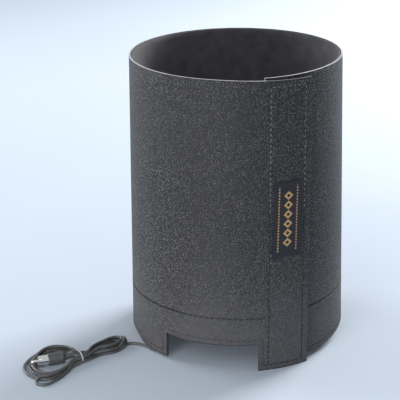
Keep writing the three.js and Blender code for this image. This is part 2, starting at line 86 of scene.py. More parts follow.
class Value:
    """A shader socket that takes part in Python arithmetic."""

    def __init__(self, graph: "Graph", socket: bpy.types.NodeSocket) -> None:
        """Wraps a socket of a graph.

        Args:
            graph: the node graph that new nodes go to.
            socket: the output that holds the value.
        """
        self.graph = graph
        self.socket = socket

    def _with(self, operation: str, *others: Union["Value", Number]) -> "Value":
        """One Math node on this value and others."""
        return self.graph.math(operation, self, *others)

    def __add__(self, other: Union["Value", Number]) -> "Value":
        """The sum."""
        return self._with("ADD", other)

    __radd__ = __add__

    def __sub__(self, other: Union["Value", Number]) -> "Value":
        """The difference."""
        return self._with("SUBTRACT", other)

    def __rsub__(self, other: Number) -> "Value":
        """The difference from a number."""
        return self.graph.math("SUBTRACT", other, self)

    def __mul__(self, other: Union["Value", Number]) -> "Value":
        """The product."""
        return self._with("MULTIPLY", other)

    __rmul__ = __mul__

    def __lt__(self, other: Union["Value", Number]) -> "Value":
        """One where this is less, otherwise zero."""
        return self._with("LESS_THAN", other)

    def __gt__(self, other: Union["Value", Number]) -> "Value":
        """One where this is more, otherwise zero."""
        return self._with("GREATER_THAN", other)

    def abs(self) -> "Value":
        """The size without its sign."""
        return self._with("ABSOLUTE")

    def fract(self) -> "Value":
        """The part after the point."""
        return self._with("FRACT")

    def sine(self) -> "Value":
        """The sine."""
        return self._with("SINE")

    def ramp(self, low: float, high: float, start: float = 0.0, end: float = 1.0) -> "Value":
        """A smooth step.

        Args:
            low: the value at which the step starts.
            high: the value at which it ends.
            start: the result below the step.
            end: the result above it.

        Returns:
            The stepped value.
        """
        return self.graph.node(
            "ShaderNodeMapRange",
            {"interpolation_type": "SMOOTHSTEP"},
            {0: self, 1: low, 2: high, 3: start, 4: end},
        )


Input = Union[Value, Number, Sequence[float]]


class Graph:
    """The node tree of one material."""

    def __init__(self, name: str) -> None:
        """Makes a material with a bare Principled shader.

        Args:
            name: the material's name.
        """
        self.material = bpy.data.materials.new(name)
        self.material.use_nodes = True
        self.tree = self.material.node_tree
        self.shader = self.tree.nodes["Principled BSDF"]

    def node(self, kind: str, settings: dict, inputs: dict, output: Union[int, str] = 0) -> Value:
        """Adds any node.

        Args:
            kind: the node's type.
            settings: its properties, set first.
            inputs: values or links of its sockets, by name or number.
            output: the output that is wanted.

        Returns:
            The output, wrapped.
        """
        made = self.tree.nodes.new(kind)
        for key, value in settings.items():
            setattr(made, key, value)
        for key, value in inputs.items():
            self.feed(made.inputs[key], value)
        return Value(self, made.outputs[output])

    def feed(self, socket: bpy.types.NodeSocket, value: Input) -> None:
        """Links or sets one socket.

        Args:
            socket: the input of a node.
            value: the output that it takes, or its own number or colour.
        """
        if isinstance(value, Value):
            self.tree.links.new(value.socket, socket)
        else:
            socket.default_value = value

    def math(self, operation: str, *values: Union[Value, Number]) -> Value:
        """Adds a Math node."""
        return self.node("ShaderNodeMath", {"operation": operation}, dict(enumerate(values)))

    def place(self, space: Space = Space.OBJECT) -> Value:
        """The coordinates of the object or of the flat sheet."""
        return self.node("ShaderNodeTexCoord", {}, {}, space.value)

    def parts(self, vector: Value) -> tuple[Value, Value, Value]:
        """The three parts of a vector."""
        made = self.tree.nodes.new("ShaderNodeSeparateXYZ")
        self.feed(made.inputs[0], vector)
        return tuple(Value(self, output) for output in made.outputs)

    def noise(self, vector: Value, scale: float, detail: float = 2.0) -> Value:
        """A noise value around one half."""
        inputs = {"Vector": vector, "Scale": scale, "Detail": detail}
        return self.node("ShaderNodeTexNoise", {}, inputs)

    def cells(self, vector: Value, scale: float) -> Value:
        """The distance to the nearest of many scattered points."""
        return self.node("ShaderNodeTexVoronoi", {}, {"Vector": vector, "Scale": scale})

    def mix(self, share: Input, first: Input, second: Input) -> Value:
        """Mixes two colours.

        Args:
            share: how much of the second colour there is.
            first: the colour at zero.
            second: the colour at one.

        Returns:
            The mixed colour.
        """
        made = self.tree.nodes.new("ShaderNodeMix")
        made.data_type = "RGBA"
        for socket, value in ((0, share), (6, first), (7, second)):
            self.feed(made.inputs[socket], value)
        return Value(self, made.outputs[2])

    def bump(self, height: Value, distance: float) -> Value:
        """A normal tilted by a height, whose unit is the distance in metres."""
        return self.node("ShaderNodeBump", {}, {"Distance": distance, "Height": height})

    def finish(self, **sockets: Input) -> bpy.types.Material:
        """Feeds the shader's sockets, whose names have _ for a space.

        Args:
            sockets: the value or link of each socket.

        Returns:
            The finished material.
        """
        for name, value in sockets.items():
            self.feed(self.shader.inputs[name.replace("_", " ")], value)
        return self.material


def rgba(red: float, green: float, blue: float) -> Colour:
    """A linear colour with full alpha."""
    return (red, green, blue, 1.0)


def grey(level: float, cool: float = 0.04) -> Colour:
    """A linear grey with a little blue and red over its green."""
    return rgba(level * (1 + cool), level, level * (1 + cool * 2.5))


@dataclass(frozen=True)
class PebbledPlastic:
    """Satin black-grey sheet with a moulded pebble grain, and painted light in its colour:
    painted highlights on the grains' crowns, a painted lighter band towards the foot, and
    painted shade in the seam grooves, along the foot and along the notch's edge.
    """

    roll: "Roll"
    dark: float = 0.007
    light: float = 0.25
    tint: float = 0.03
    grain: float = 1.1 * MM
    patch_scale: float = 22.0
    relief: float = 0.3 * MM
    gloss: float = 0.52
    gloss_spread: float = 0.22
    specular: float = 0.45
    crown: Ramp = (0.1, 0.58, 1.0, 0.0)
    # Painted highlight: these ramps and weights paint the grains' crowns paler and the hollows
    # between them darker.
    crown_glint: Ramp = (0.36, 0.6)
    glint_on_crown: Ramp = (0.0, 0.7, 0.25, 1.0)
    glint_middle: float = 0.42
    glint_weight: float = 1.15
    # The painted highlights fade towards the foot and vary in random patches.
    glint_up: Ramp = (0.02, 0.12, 0.4, 1.0)
    contrast_patches: Ramp = (0.3, 0.7, 0.75, 1.25)
    # Painted light: the sheet's colour is lighter towards the foot.
    painted_foot_light: Ramp = (0.03, 0.16, 0.28, 0.075)
    shade_span: Ramp = (-0.2, 1.1)
    # Painted shade: a dark line in each seam groove, along the foot and along the notch's edge.
    groove_shade_dark: float = 0.005
    line_half: float = 1.0 * MM
    line_soft: float = 0.7
    gap_scale: float = 320.0
    gap: Ramp = (0.35, 0.6, 0.6, 1.0)
    seam_span: Span = (300.0, 345.0)
    seam_lines: Span = (1.6, 0.45)
    hem_lines: tuple[float, ...] = (0.35, 0.45, 0.3, 0.3, 0.35)
    closure_lines: tuple[float, ...] = (0.3, 0.35, 0.5)
    foot_shadow: float = 0.75
    notch_edge_shade: float = 0.6

    def _groove_shade(
        self,
        graph: Graph,
        flat: tuple[Value, Value],
        start: FlatPoint,
        end: FlatPoint,
        strength: Input,
    ) -> Value:
        """A soft line of painted shade where a seam presses the sheet in.

        Args:
            graph: the finish's graph.
            flat: the sheet's two coordinates, in metres.
            start: one end of the line, an angle and a height.
            end: its other end.
            strength: how dark it is.

        Returns:
            The mask.
        """
        around, up = flat
        arc = self.roll.arc
        half_arc = max(self.line_half, abs(end[0] - start[0]) * arc / 2)
        half_up = max(self.line_half, abs(end[1] - start[1]) / 2)
        soft = self.line_half * self.line_soft
        across = (around - (start[0] + end[0]) / 2 * arc).abs().ramp(half_arc - soft, half_arc)
        along = (up - (start[1] + end[1]) / 2).abs().ramp(half_up - soft, half_up)
        return (1 - across) * (1 - along) * strength

    def _seam_shades(self, graph: Graph) -> Value:
        """The painted shade of all the seams, of the foot and of the notch's edge.

        Args:
            graph: the finish's graph.

        Returns:
            The mask of the darkest painted shade at each point.
        """
        roll = self.roll
        around, up, _ = graph.parts(graph.place(Space.SHEET))
        fade_start, fade_end = (angle * roll.arc for angle in self.seam_span)
        fade = around.ramp(fade_start, fade_end, *self.seam_lines)
        tall = roll.closure_corners
        hem = [*roll.hem_corners[:-1], tall[-1]]
        ceiling = roll.notch_height
        parts = [
            (*roll.seam_ends, fade),
            *zip(hem, hem[1:], self.hem_lines),
            *zip(tall, tall[1:], self.closure_lines),
            ((roll.start, 0), (roll.end, 0), self.foot_shadow),
            ((roll.notch_start, ceiling), (roll.notch_end, ceiling), self.notch_edge_shade),
        ]
        masks = [self._groove_shade(graph, (around, up), *part) for part in parts]
        total = masks[0]
        for mask in masks[1:]:
            total = graph.math("MAXIMUM", total, mask)
        return total

    def material(self) -> bpy.types.Material:
        """Builds the finish.

        Returns:
            The material: rounded grains in Object coordinates with a painted highlight on their
            crowns and painted shade between them, stronger higher up; painted light that makes the
            sheet lighter towards the foot; and painted shade in the sheet's own coordinates, in
            the grooves where seams press it in, along the foot and along the notch's edge.
        """
        graph = Graph("pebbled_plastic")
        place = graph.place()
        height = graph.parts(place)[2]
        crown = graph.cells(place, 1 / self.grain).ramp(*self.crown)
        fine = graph.noise(place, 2.0 / self.grain)
        # Painted highlight on each grain's crown and painted shade in the hollows between crowns,
        # stronger higher up.
        crown_glint = graph.noise(place, 1.5 / self.grain, 1).ramp(*self.crown_glint)
        crown_glint = crown_glint * crown.ramp(*self.glint_on_crown)
        patches = graph.noise(place, self.patch_scale, 3).ramp(*self.contrast_patches)
        glint_strength = height.ramp(*self.glint_up) * patches
        # Painted light: the colour starts lighter towards the foot.
        shade = height.ramp(*self.painted_foot_light)
        shade += (crown_glint - self.glint_middle) * glint_strength * self.glint_weight
        shade += (fine - 0.5) * 0.5
        colour = graph.mix(
            shade.ramp(*self.shade_span), grey(self.dark, self.tint), grey(self.light, self.tint)
        )
        # Painted shade: the seam grooves, the foot and the notch's edge are painted dark, in
        # dashes.
        line = self._seam_shades(graph)
        gaps = graph.noise(place, self.gap_scale, 1).ramp(*self.gap)
        colour = graph.mix((line * gaps).ramp(0.0, 1.0), colour, grey(self.groove_shade_dark, 0.0))
        relief = crown + crown_glint * 0.6 + fine * 0.5 - line * 1.5
        return graph.finish(
            Base_Color=colour,
            Roughness=self.gloss + fine * self.gloss_spread,
            Normal=graph.bump(relief, self.relief),
            Specular_IOR_Level=self.specular,
        )


@dataclass(frozen=True)
class CutEdge:
    """The sheet's cut edge: a painted highlight at the rim and painted shade along the foot."""

    # pale is the painted highlight along the top edge, dark the painted shade along the foot.
    pale: float = 0.62
    dark: float = 0.03
    gloss: float = 0.6
    relief: float = 0.1 * MM
    rim: Ramp = (0.235, 0.25)
    flap: Ramp = (0.606, 0.612, 1.0, 0.3)
    highlight_breakup_scale: float = 260.0
    wear_and_highlight_breakup: Ramp = (0.25, 0.7, 0.6, 1.0)
    fuzz_scale: float = 1500.0

    def material(self) -> bpy.types.Material:
        """Builds the finish.

        Returns:
            The material, with the painted highlight only near the top, broken up at random and
            weaker on the flap, and painted shade below it.
        """
        graph = Graph("cut_edge")
        place = graph.place()
        height = graph.parts(place)[2]
        around = graph.parts(graph.place(Space.SHEET))[0]
        # Painted highlight near the top edge, broken up at random and weaker on the flap; below it
        # the edge is painted dark as shade.
        worn_and_highlight_breakup = graph.noise(place, self.highlight_breakup_scale, 3).ramp(*self.wear_and_highlight_breakup)
        high = height.ramp(*self.rim) * around.ramp(*self.flap)
        colour = graph.mix(high * worn_and_highlight_breakup, grey(self.dark, 0.12), grey(self.pale, 0.02))
        normal = graph.bump(graph.noise(place, self.fuzz_scale), self.relief)
        return graph.finish(Base_Color=colour, Roughness=self.gloss, Normal=normal)


@dataclass(frozen=True)
class Felt:
    """Pressed dark felt with loose fibres."""

    level: float = 0.058
    fibre: float = 0.5 * MM
    clump_scale: float = 90.0
    shade_span: Ramp = (0.35, 0.85)
    relief: float = 0.4 * MM

    def material(self) -> bpy.types.Material:
        """Builds the finish.

        Returns:
            The material, matte with a faint sheen.
        """
        graph = Graph("dark_felt")
        place = graph.place()
        fibres = graph.noise(place, 1 / self.fibre, 4)
        clumps = graph.noise(place, self.clump_scale, 3)
        shade = (fibres * 0.6 + clumps * 0.6).ramp(*self.shade_span)
        return graph.finish(
            Base_Color=graph.mix(shade, grey(self.level * 0.75), grey(self.level * 1.7)),
            Roughness=0.95,
            Sheen_Weight=0.25,
            Sheen_Roughness=0.6,
            Normal=graph.bump(fibres + clumps, self.relief),
        )


@dataclass(frozen=True)
class Yarn:
    """Twisted polyester thread or tape."""

    name: str
    level: float
    pitch: float = 0.9 * MM
    gloss: float = 0.55
    relief: float = 0.15 * MM

    def material(self) -> bpy.types.Material:
        """Builds the finish.

        Returns:
            The material, with single fibres and broader strands.
        """
        graph = Graph(self.name)
        place = graph.place()
        fibre = graph.noise(place, 1 / self.pitch, 3)
        strand = graph.noise(place, 0.25 / self.pitch)
        shade = ((fibre + strand) * 0.5).ramp(0.3, 0.7)
        colour = graph.mix(shade, grey(self.level * 0.6), grey(self.level * 1.4))
        normal = graph.bump(fibre, self.relief)
        return graph.finish(Base_Color=colour, Roughness=self.gloss, Normal=normal)


@dataclass(frozen=True)
class WovenLabel:
    """A navy woven label with a plain gold pattern of diamonds and dashes.

    Places on it are shares of its width and of its height.
    """

    warp_threads: int = 50
    weft_threads: int = 122
    navy: Colour = rgba(0.003, 0.0035, 0.009)
    pale_navy: Colour = rgba(0.009, 0.011, 0.024)
    gold: Colour = rgba(0.6, 0.36, 0.14)
    diamonds: int = 6
    row_margin: float = 0.13
    row_length: float = 0.74
    row_middle: float = 0.48
    diamond_outside: float = 0.52
    diamond_inside: float = 0.24
    dashes: int = 26
    dash_share: float = 0.6
    dash_reach: float = 0.43
    dash_places: Span = (0.17, 0.79)
    dash_half: float = 0.022
    wear_and_highlight_breakup: Ramp = (0.2, 0.6, 0.65, 1.0)

    def material(self) -> bpy.types.Material:
        """Builds the finish.

        Returns:
            The material: u runs across the label and v along it.
        """
        graph = Graph("woven_label")
        across, along, _ = graph.parts(graph.place(Space.SHEET))
        warp = (across * (math.tau * self.warp_threads)).sine()
        weft = (along * (math.tau * self.weft_threads)).sine()
        threads = warp * weft
        off_middle = (along - 0.5).abs()
        margin = self.row_margin * self.diamonds / self.row_length
        step = (along * (self.diamonds / self.row_length) - margin).fract()
        spread = (step - 0.5).abs() * 1.1 + (across - self.row_middle).abs() * 3.4
        diamond = (spread < self.diamond_outside) * (spread > self.diamond_inside)
        dash = ((along * self.dashes).fract() < self.dash_share) * (off_middle < self.dash_reach)
        left, right = ((across - at).abs() < self.dash_half for at in self.dash_places)
        pattern = diamond * (off_middle < self.row_length / 2) + dash * (left + right)
        # In the label this is real wear of the gold pattern.
        worn_and_highlight_breakup = graph.noise(graph.place(Space.SHEET), 60.0).ramp(*self.wear_and_highlight_breakup)
        ground = graph.mix(threads.ramp(-1, 1), self.navy, self.pale_navy)
        return graph.finish(
            Base_Color=graph.mix(pattern * worn_and_highlight_breakup, ground, self.gold),
            Roughness=0.7,
            Normal=graph.bump(threads + pattern, 0.12 * MM),
        )


@dataclass(frozen=True)
class Jacket:
    """Smooth flexible plastic of a cord, with faint drawing marks."""

    name: str = "cord_jacket"
    colour: Colour = grey(0.07, 0.0)
    gloss: float = 0.36
    dust_gain: float = 1.5
    dust_lift: float = 0.006

    def material(self) -> bpy.types.Material:
        """Builds the finish.

        Returns:
            The material, a little paler where dust lies.
        """
        graph = Graph(self.name)
        place = graph.place()
        marks = graph.noise(place, 900.0)
        dust = graph.noise(place, 120.0, 3).ramp(0.4, 0.75)
        dusted = [min(1.0, part * self.dust_gain + self.dust_lift) for part in self.colour[:3]]
        return graph.finish(
            Base_Color=graph.mix(dust, self.colour, rgba(*dusted)),
            Roughness=self.gloss + marks * 0.12,
            Normal=graph.bump(marks, 0.05 * MM),
        )


@dataclass(frozen=True)
class Metal:
    """A bare or plated metal with fine handling marks."""

    name: str
    colour: Colour
    gloss: float = 0.12

    def material(self) -> bpy.types.Material:
        """Builds the finish.

        Returns:
            The material, with its marks in the gloss and in a faint relief.
        """
        graph = Graph(self.name)
        marks = graph.noise(graph.place(), 500.0, 3)
        return graph.finish(
            Base_Color=self.colour,
            Metallic=1.0,
            Roughness=self.gloss + marks * 0.15,
            Normal=graph.bump(marks, 0.02 * MM),
        )


@dataclass(frozen=True)
class Roll:
    """The rolled sheet: where a point of the flat sheet comes to lie."""

    height: float = 260.5 * MM
    top_radius: float = 93.3 * MM
    foot_flare: float = 3.7 * MM
    thickness: float = 1.5 * MM
    start: float = 15.0
    flap_width: float = 25.2
    settle: float = 62.0
    overlap_step: float = 4.8 * MM
    overlap_reach: float = 357.0
    notch_start: float = 320.0
    notch_end: float = 371.2
    notch_height: float = 24.5 * MM
    seam_height: float = 49.3 * MM
    hem_inset: float = 4.6 * MM
    hem_angle: float = 2.8
    top_inset: float = 2.6 * MM
    closure_start: float = 361.7
    closure_inset: float = 0.9
    stitch_clearance: float = 1.4
    flap_lean: float = 1.8
    flap_lean_span: Span = (358.0, 377.0)
    edge_lean: float = 1.3
    edge_lean_span: Span = (388.0, 399.0)
    side_rise: float = 8.0 * MM
    side_start: float = 0.62
    side_gain: float = 0.52
    side_gain_span: Span = (45.0, 88.0)
    side_fall_span: Span = (85.0, 140.0)
    cord_rise: float = 3.2 * MM
    cord_angle: float = 310.0
    cord_span: Span = (6.0, 24.0)
    back_span: Span = (230.0, 280.0)
    notch_span: float = 10.0
    flap_top_drop: float = 2.8 * MM
    flap_drop_start: float = 345.0
    front_drop: float = 0.5 * MM
    front_drop_span: Span = (60.0, 140.0)
    foot_share: float = 0.8
    head_share: float = 0.5

    @property
    def arc(self) -> float:
        """The length of one degree at the top of the sheet."""
        return math.radians(1) * self.top_radius

    @property
    def end(self) -> float:
        """The angle of the flap's edge."""
        return self.start + FULL_TURN + self.flap_width

    @property
    def closure(self) -> Point:
        """Where the closure's seams lie on the flap.

        Returns:
            The angles of its two upright seams, and the height of its top one.
        """
        return (
            self.start + self.closure_start,
            self.end - self.hem_angle - self.closure_inset,
            self.height - self.flap_top_drop - self.top_inset,
        )

    @property
    def closure_corners(self) -> list[FlatPoint]:
        """The corners of the closure, from its left foot round to its right foot."""
        left, right, top = self.closure
        return [(left, self.hem_inset), (left, top), (right, top), (right, self.hem_inset)]

    @property
    def hem_corners(self) -> list[FlatPoint]:
        """The corners of the hem along the foot and round the notch.

        Returns:
            Angles and heights, from the start of the visible sheet to the closure.
        """
        inset = self.hem_inset
        ceiling = self.notch_height + inset
        tab = self.notch_start - self.hem_angle
        flap = self.start + FULL_TURN - self.hem_angle / 2
        begin = self.seam_ends[0][0]
        left = self.closure[0]
        return [
            (begin, inset), (tab, inset), (tab, ceiling),
            (flap, ceiling), (flap, inset), (left, inset),
        ]

    @property
    def seam_ends(self) -> list[FlatPoint]:
        """The two ends of the seam above the heated band."""
        begin = self.start + self.flap_width + self.stitch_clearance
        left = self.closure[0] - self.stitch_clearance
        return [(begin, self.seam_height), (left, self.seam_height)]

    @staticmethod
    def smooth(value: float, low: float, high: float) -> float:
        """A smooth step from 0 to 1."""
        share = min(1.0, max(0.0, (value - low) / (high - low)))
        return share * share * (3 - 2 * share)

    def offset(self, angle: float) -> float:
        """How far the sheet lies off the mean circle to pass over its start.

        Args:
            angle: degrees round the roll.

        Returns:
            Metres, below zero where the sheet lies inside the circle.
        """
        inner_end = self.start + self.flap_width
        inward = 1 - self.smooth(angle, inner_end, inner_end + self.settle)
        flap_start = self.start + self.overlap_reach
        outward = self.smooth(angle, flap_start - self.settle, flap_start)
        return self.overlap_step / 2 * (outward - inward)

    def place(self, angle: float, height: float, depth: float = 0.0) -> Vector:
        """A point on the roll.

        Args:
            angle: degrees round the roll.
            height: metres above the floor.
            depth: metres inwards from the outer face.

        Returns:
            The point.
        """
        up = height / self.height
        lean = self.flap_lean * (up - 0.5) * self.smooth(angle, *self.flap_lean_span)
        lean -= self.edge_lean * (1 - up) * self.smooth(angle, *self.edge_lean_span)
        turn = math.radians(angle + lean)
        flare = self.foot_flare * (1 - up)
        radius = self.top_radius + flare + self.offset(angle) - depth
        return Vector((radius * math.sin(turn), -radius * math.cos(turn), height))

    def foot(self, angle: float) -> float:
        """The height of the sheet's lower edge.

        Args:
            angle: degrees round the roll.

        Returns:
            Metres above the floor: it rises at the right side and where the cord leaves.
        """
        gain = self.side_gain * self.smooth(angle, *self.side_gain_span)
        lift = self.side_rise * (self.side_start + gain)
        right = lift * (1 - self.smooth(angle, *self.side_fall_span))
        before_cord = self.smooth(self.cord_angle - angle, *self.cord_span)
        left = (self.side_rise - self.cord_rise) * before_cord
        ease = self.smooth(angle, *self.back_span)
        front = 1 - self.smooth(angle, self.notch_start, self.notch_start + self.notch_span)
        return right + (left + self.cord_rise) * ease * front

    def top(self, angle: float) -> float:
        """The height of the sheet's upper edge.

        Args:
            angle: degrees round the roll.

        Returns:
            Metres above the floor: it drops a little towards the flap's edge.
        """
        drop = self.flap_top_drop * self.smooth(angle, self.flap_drop_start, self.end)
        front = self.front_drop * (1 - self.smooth(angle, *self.front_drop_span))
        return self.height - drop - front

    def fitted(self, angle: float, height: float) -> float:
        """Moves a height of the flat sheet with the nearer edge.

        Args:
            angle: degrees round the roll.
            height: the height on a sheet with straight edges.

        Returns:
            The height on the real sheet.
        """
        low = 1 - self.smooth(height, 0, self.seam_height * self.foot_share)
        high = self.smooth(height, self.height * self.head_share, self.height)
        return height + self.foot(angle) * low + (self.top(angle) - self.height) * high


def link_piece(made: bpy.types.Object) -> None:
    """Puts a piece into the scene, on the root body.

    Args:
        made: the piece.
    """
    bpy.context.scene.collection.objects.link(made)
    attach(made, ROOT)


def new_object(
    name: str, bm: bmesh.types.BMesh, slot: str, *materials: bpy.types.Material
) -> bpy.types.Object:
    """Turns a bmesh into a smooth-shaded object at the origin.

    Args:
        name: the object's name.
        bm: the finished bmesh, which is freed.
        slot: the record's material slot; not used.
        materials: the materials, in the order of the faces' indices.

    Returns:
        The object, riding on the root body.
    """
    mesh = bpy.data.meshes.new(name)
    for face in bm.faces:
        face.smooth = True
    bm.to_mesh(mesh)
    bm.free()
    made = bpy.data.objects.new(name, mesh)
    for material in materials:
        mesh.materials.append(material)
    link_piece(made)
    LOG.info("%s: %d faces", name, len(mesh.polygons))
    return made


def new_curve(name: str, radius: float, roundness: int) -> bpy.types.Curve:
    """Makes an empty round curve with closed ends.

    Args:
        name: the curve's name.
        radius: half its thickness.
        roundness: how finely it is rounded.

    Returns:
        The curve.
    """
    curve = bpy.data.curves.new(name, "CURVE")
    curve.dimensions = "3D"
    curve.bevel_depth = radius
    curve.bevel_resolution = roundness
    curve.use_fill_caps = True
    return curve


def in_metres(points: Iterable[Point]) -> list[Vector]:
    """Points that are written in millimetres."""
    return [Vector(point) * MM for point in points]


def flat_sheet(
    low: float, high: float, foot: float, top: float, step: Span
) -> bmesh.types.BMesh:
    """A flat grid whose x is the angle in degrees and whose y is the height.

    Args:
        low: the first angle.
        high: the last angle.
        foot: the lowest height.
        top: the greatest height.
        step: the size of a face, in degrees and in metres.

    Returns:
        The bmesh.
    """
    bm = bmesh.new()
    across = max(1, round((high - low) / step[0]))
    up = max(1, round((top - foot) / step[1]))
    bmesh.ops.create_grid(bm, x_segments=across, y_segments=up, size=0.5)
    bmesh.ops.translate(bm, verts=bm.verts, vec=(0.5, 0.5, 0))
    bmesh.ops.scale(bm, verts=bm.verts, vec=(high - low, top - foot, 1))
    bmesh.ops.translate(bm, verts=bm.verts, vec=(low, foot, 0))
    return bm


def score(bm: bmesh.types.BMesh, axis: Axis, *places: float) -> None:
    """Cuts edges across a flat sheet.

    Args:
        bm: the flat sheet.
        axis: the direction in which the places are measured.
        places: the angles or the heights of the cuts.
    """
    for at in places:
        point = Vector((0, 0, 0))
        normal = Vector((0, 0, 0))
        point[axis.value] = at
        normal[axis.value] = 1
        bmesh.ops.bisect_plane(
            bm,
            geom=bm.verts[:] + bm.edges[:] + bm.faces[:],
            dist=SCORE_TOLERANCE,
            plane_co=point,
            plane_no=normal,
        )


def give_wall(made: bpy.types.Object, thickness: float) -> bpy.types.Modifier:
    """Gives a sheet its thickness, inwards from the face that points out.

    Args:
        made: the sheet's object.
        thickness: the thickness in metres.

    Returns:
        The modifier.
    """
    face = made.data.polygons[len(made.data.polygons) // 2]
    outwards = face.normal.dot(Vector((face.center.x, face.center.y, 0))) > 0
    solid = made.modifiers.new("wall", "SOLIDIFY")
    solid.thickness = thickness
    solid.offset = -1 if outwards else 1
    return solid


@dataclass
class Sheet:
    """The outer shell and its felt."""

    roll: Roll
    step: Span = (1.5, 3.2 * MM)
    groove: float = 0.45 * MM
    groove_half: float = 1.1 * MM
    rim_round: float = 0.35 * MM
    rim_angle: float = 50.0
    felt_step: Span = (2.0, 5 * MM)
    felt_span: Span = (0.8, 357.6)
    felt_foot: float = 0.6 * MM
    felt_head: float = 0.5 * MM
    felt_thickness: float = 1.2 * MM
    felt_gap: float = 0.3 * MM
    felt_waves: int = 6
    felt_uneven: float = 0.25 * MM
    notch_ease: float = 0.3
    pocket: float = 1.9 * MM
    pocket_start: Span = (36.0, 45.0)
    pocket_top: Span = (-1 * MM, 3 * MM)
    ceiling_edge: Span = (0.5 * MM, 5 * MM)
    tab_edge: Span = (-4.0, -1.0)
    bulge: float = 2.4 * MM
    bulge_angle: float = 313.5
    bulge_after: Span = (2.8, 5.0)
    bulge_before: Span = (6.0, 10.0)
    bulge_top: Span = (29 * MM, 33 * MM)

    def _cut_notch(self, bm: bmesh.types.BMesh, grow: float = 0.0) -> None:
        """Takes the rail notch out of a flat sheet.

        Args:
            bm: the flat sheet.
            grow: how much larger the hole is, in degrees and in millimetres.
        """
        roll = self.roll
        low, high = roll.notch_start - grow, roll.notch_end + grow
        ceiling = roll.notch_height + grow * MM
        score(bm, Axis.ROUND, low, high)
        score(bm, Axis.UP, ceiling)
        middles = ((face, face.calc_center_median()) for face in bm.faces)
        gone = [face for face, at in middles if low < at.x < high and at.y < ceiling]
        bmesh.ops.delete(bm, geom=gone, context="FACES")

    def _on_seam(self, angle: float, height: float) -> bool:
        """Whether a point of the flat sheet is on a line of stitching.

        Args:
            angle: degrees round the roll.
            height: the height on the flat sheet.

        Returns:
            True on the heater seam, the foot hem or the closure.
        """
        roll = self.roll
        left, right, top = roll.closure
        close = 0.01 * MM
        on_heater = abs(height - roll.seam_height) < close and angle < left - 1
        on_foot = abs(height - roll.hem_inset) < close
        on_top = abs(height - top) < close and left <= angle <= right
        upright = min(abs(angle - left), abs(angle - right)) < 0.01 and height < top + close
        return on_heater or on_foot or on_top or upright

    def shell(self) -> bpy.types.Object:
        """Builds the pebbled sheet.

        Returns:
            The object, which stands for the shell of the frame.
        """
        roll = self.roll
        bm = flat_sheet(roll.start, roll.end, 0, roll.height, self.step)
        left, right, top = roll.closure
        around = self.groove_half
        for height in (roll.seam_height, roll.hem_inset, top):
            score(bm, Axis.UP, height - around, height, height + around)
        turn = math.degrees(around / roll.top_radius)
        for angle in (left, right):
            score(bm, Axis.ROUND, angle - turn, angle, angle + turn)
        self._cut_notch(bm)
        uv = bm.loops.layers.uv.new("sheet")
        for face in bm.faces:
            for loop in face.loops:
                flat = loop.vert.co
                loop[uv].uv = (math.radians(flat.x) * roll.top_radius, flat.y)
        for vert in bm.verts:
            angle, height, _ = vert.co
            depth = self.groove if self._on_seam(angle, height) else 0.0
            vert.co = roll.place(angle, roll.fitted(angle, height), depth)
        bmesh.ops.recalc_face_normals(bm, faces=bm.faces)
        finishes = (PebbledPlastic(roll).material(), CutEdge().material())
        made = new_object("pebbled_sheet", bm, "pebbled_plastic", *finishes)
        give_wall(made, roll.thickness).material_offset_rim = 1
        bevel = made.modifiers.new("rim", "BEVEL")
        bevel.width = self.rim_round
        bevel.segments = 2
        bevel.limit_method = "ANGLE"
        bevel.angle_limit = math.radians(self.rim_angle)
        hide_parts("outer_shell")
        return made

    def _felt_depth(self, angle: float, height: float) -> float:
        """How deep the felt lies: over the heater it stands off the shell.

        Args:
            angle: degrees round the roll.
            height: the height on the flat sheet.

        Returns:
            Metres inwards from the shell's outer face.
        """
        roll = self.roll
        smooth = roll.smooth
        pocket_low, pocket_high = (roll.seam_height + off for off in self.pocket_top)
        pocket = smooth(angle, *self.pocket_start) * (1 - smooth(height, pocket_low, pocket_high))
        if angle > roll.notch_start:
            pocket *= smooth(height - roll.notch_height, *self.ceiling_edge)
        else:
            hem = 1 - smooth(height, roll.notch_height, roll.notch_height + self.ceiling_edge[1])
            pocket *= 1 - hem * smooth(angle - roll.notch_start, *self.tab_edge)
        side = angle - self.bulge_angle
        span = self.bulge_after if side > 0 else self.bulge_before
        bulge = (1 - smooth(abs(side), *span)) * (1 - smooth(height, *self.bulge_top))
        flat = roll.thickness + self.felt_gap
        return flat + self.pocket * pocket + self.bulge * bulge

    def felt(self) -> bpy.types.Object:
        """Builds the lining, slightly uneven as pressed felt is.

        Returns:
            The object, which stands for the lining of the frame.
        """
        roll = self.roll
        low, high = (roll.start + angle for angle in self.felt_span)
        bm = flat_sheet(low, high, self.felt_foot, roll.height - self.felt_head, self.felt_step)
        score(bm, Axis.UP, *(roll.seam_height + off for off in self.pocket_top))
        self._cut_notch(bm, self.notch_ease)
        rng = random.Random(5)
        waves = [
            (rng.uniform(2, 9), rng.uniform(8, 40), rng.uniform(0, 6))
            for _ in range(self.felt_waves)
        ]
        for vert in bm.verts:
            angle, height, _ = vert.co
            turn = math.radians(angle)
            uneven = sum(math.sin(a * turn + b * height + c) for a, b, c in waves) / len(waves)
            depth = self._felt_depth(angle, height) + self.felt_uneven * (1 + uneven)
            vert.co = roll.place(angle, roll.fitted(angle, height), depth)
        bmesh.ops.recalc_face_normals(bm, faces=bm.faces)
        made = new_object("felt_lining", bm, "dark_felt", Felt().material())
        give_wall(made, self.felt_thickness)
        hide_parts("felt_liner")
        return made


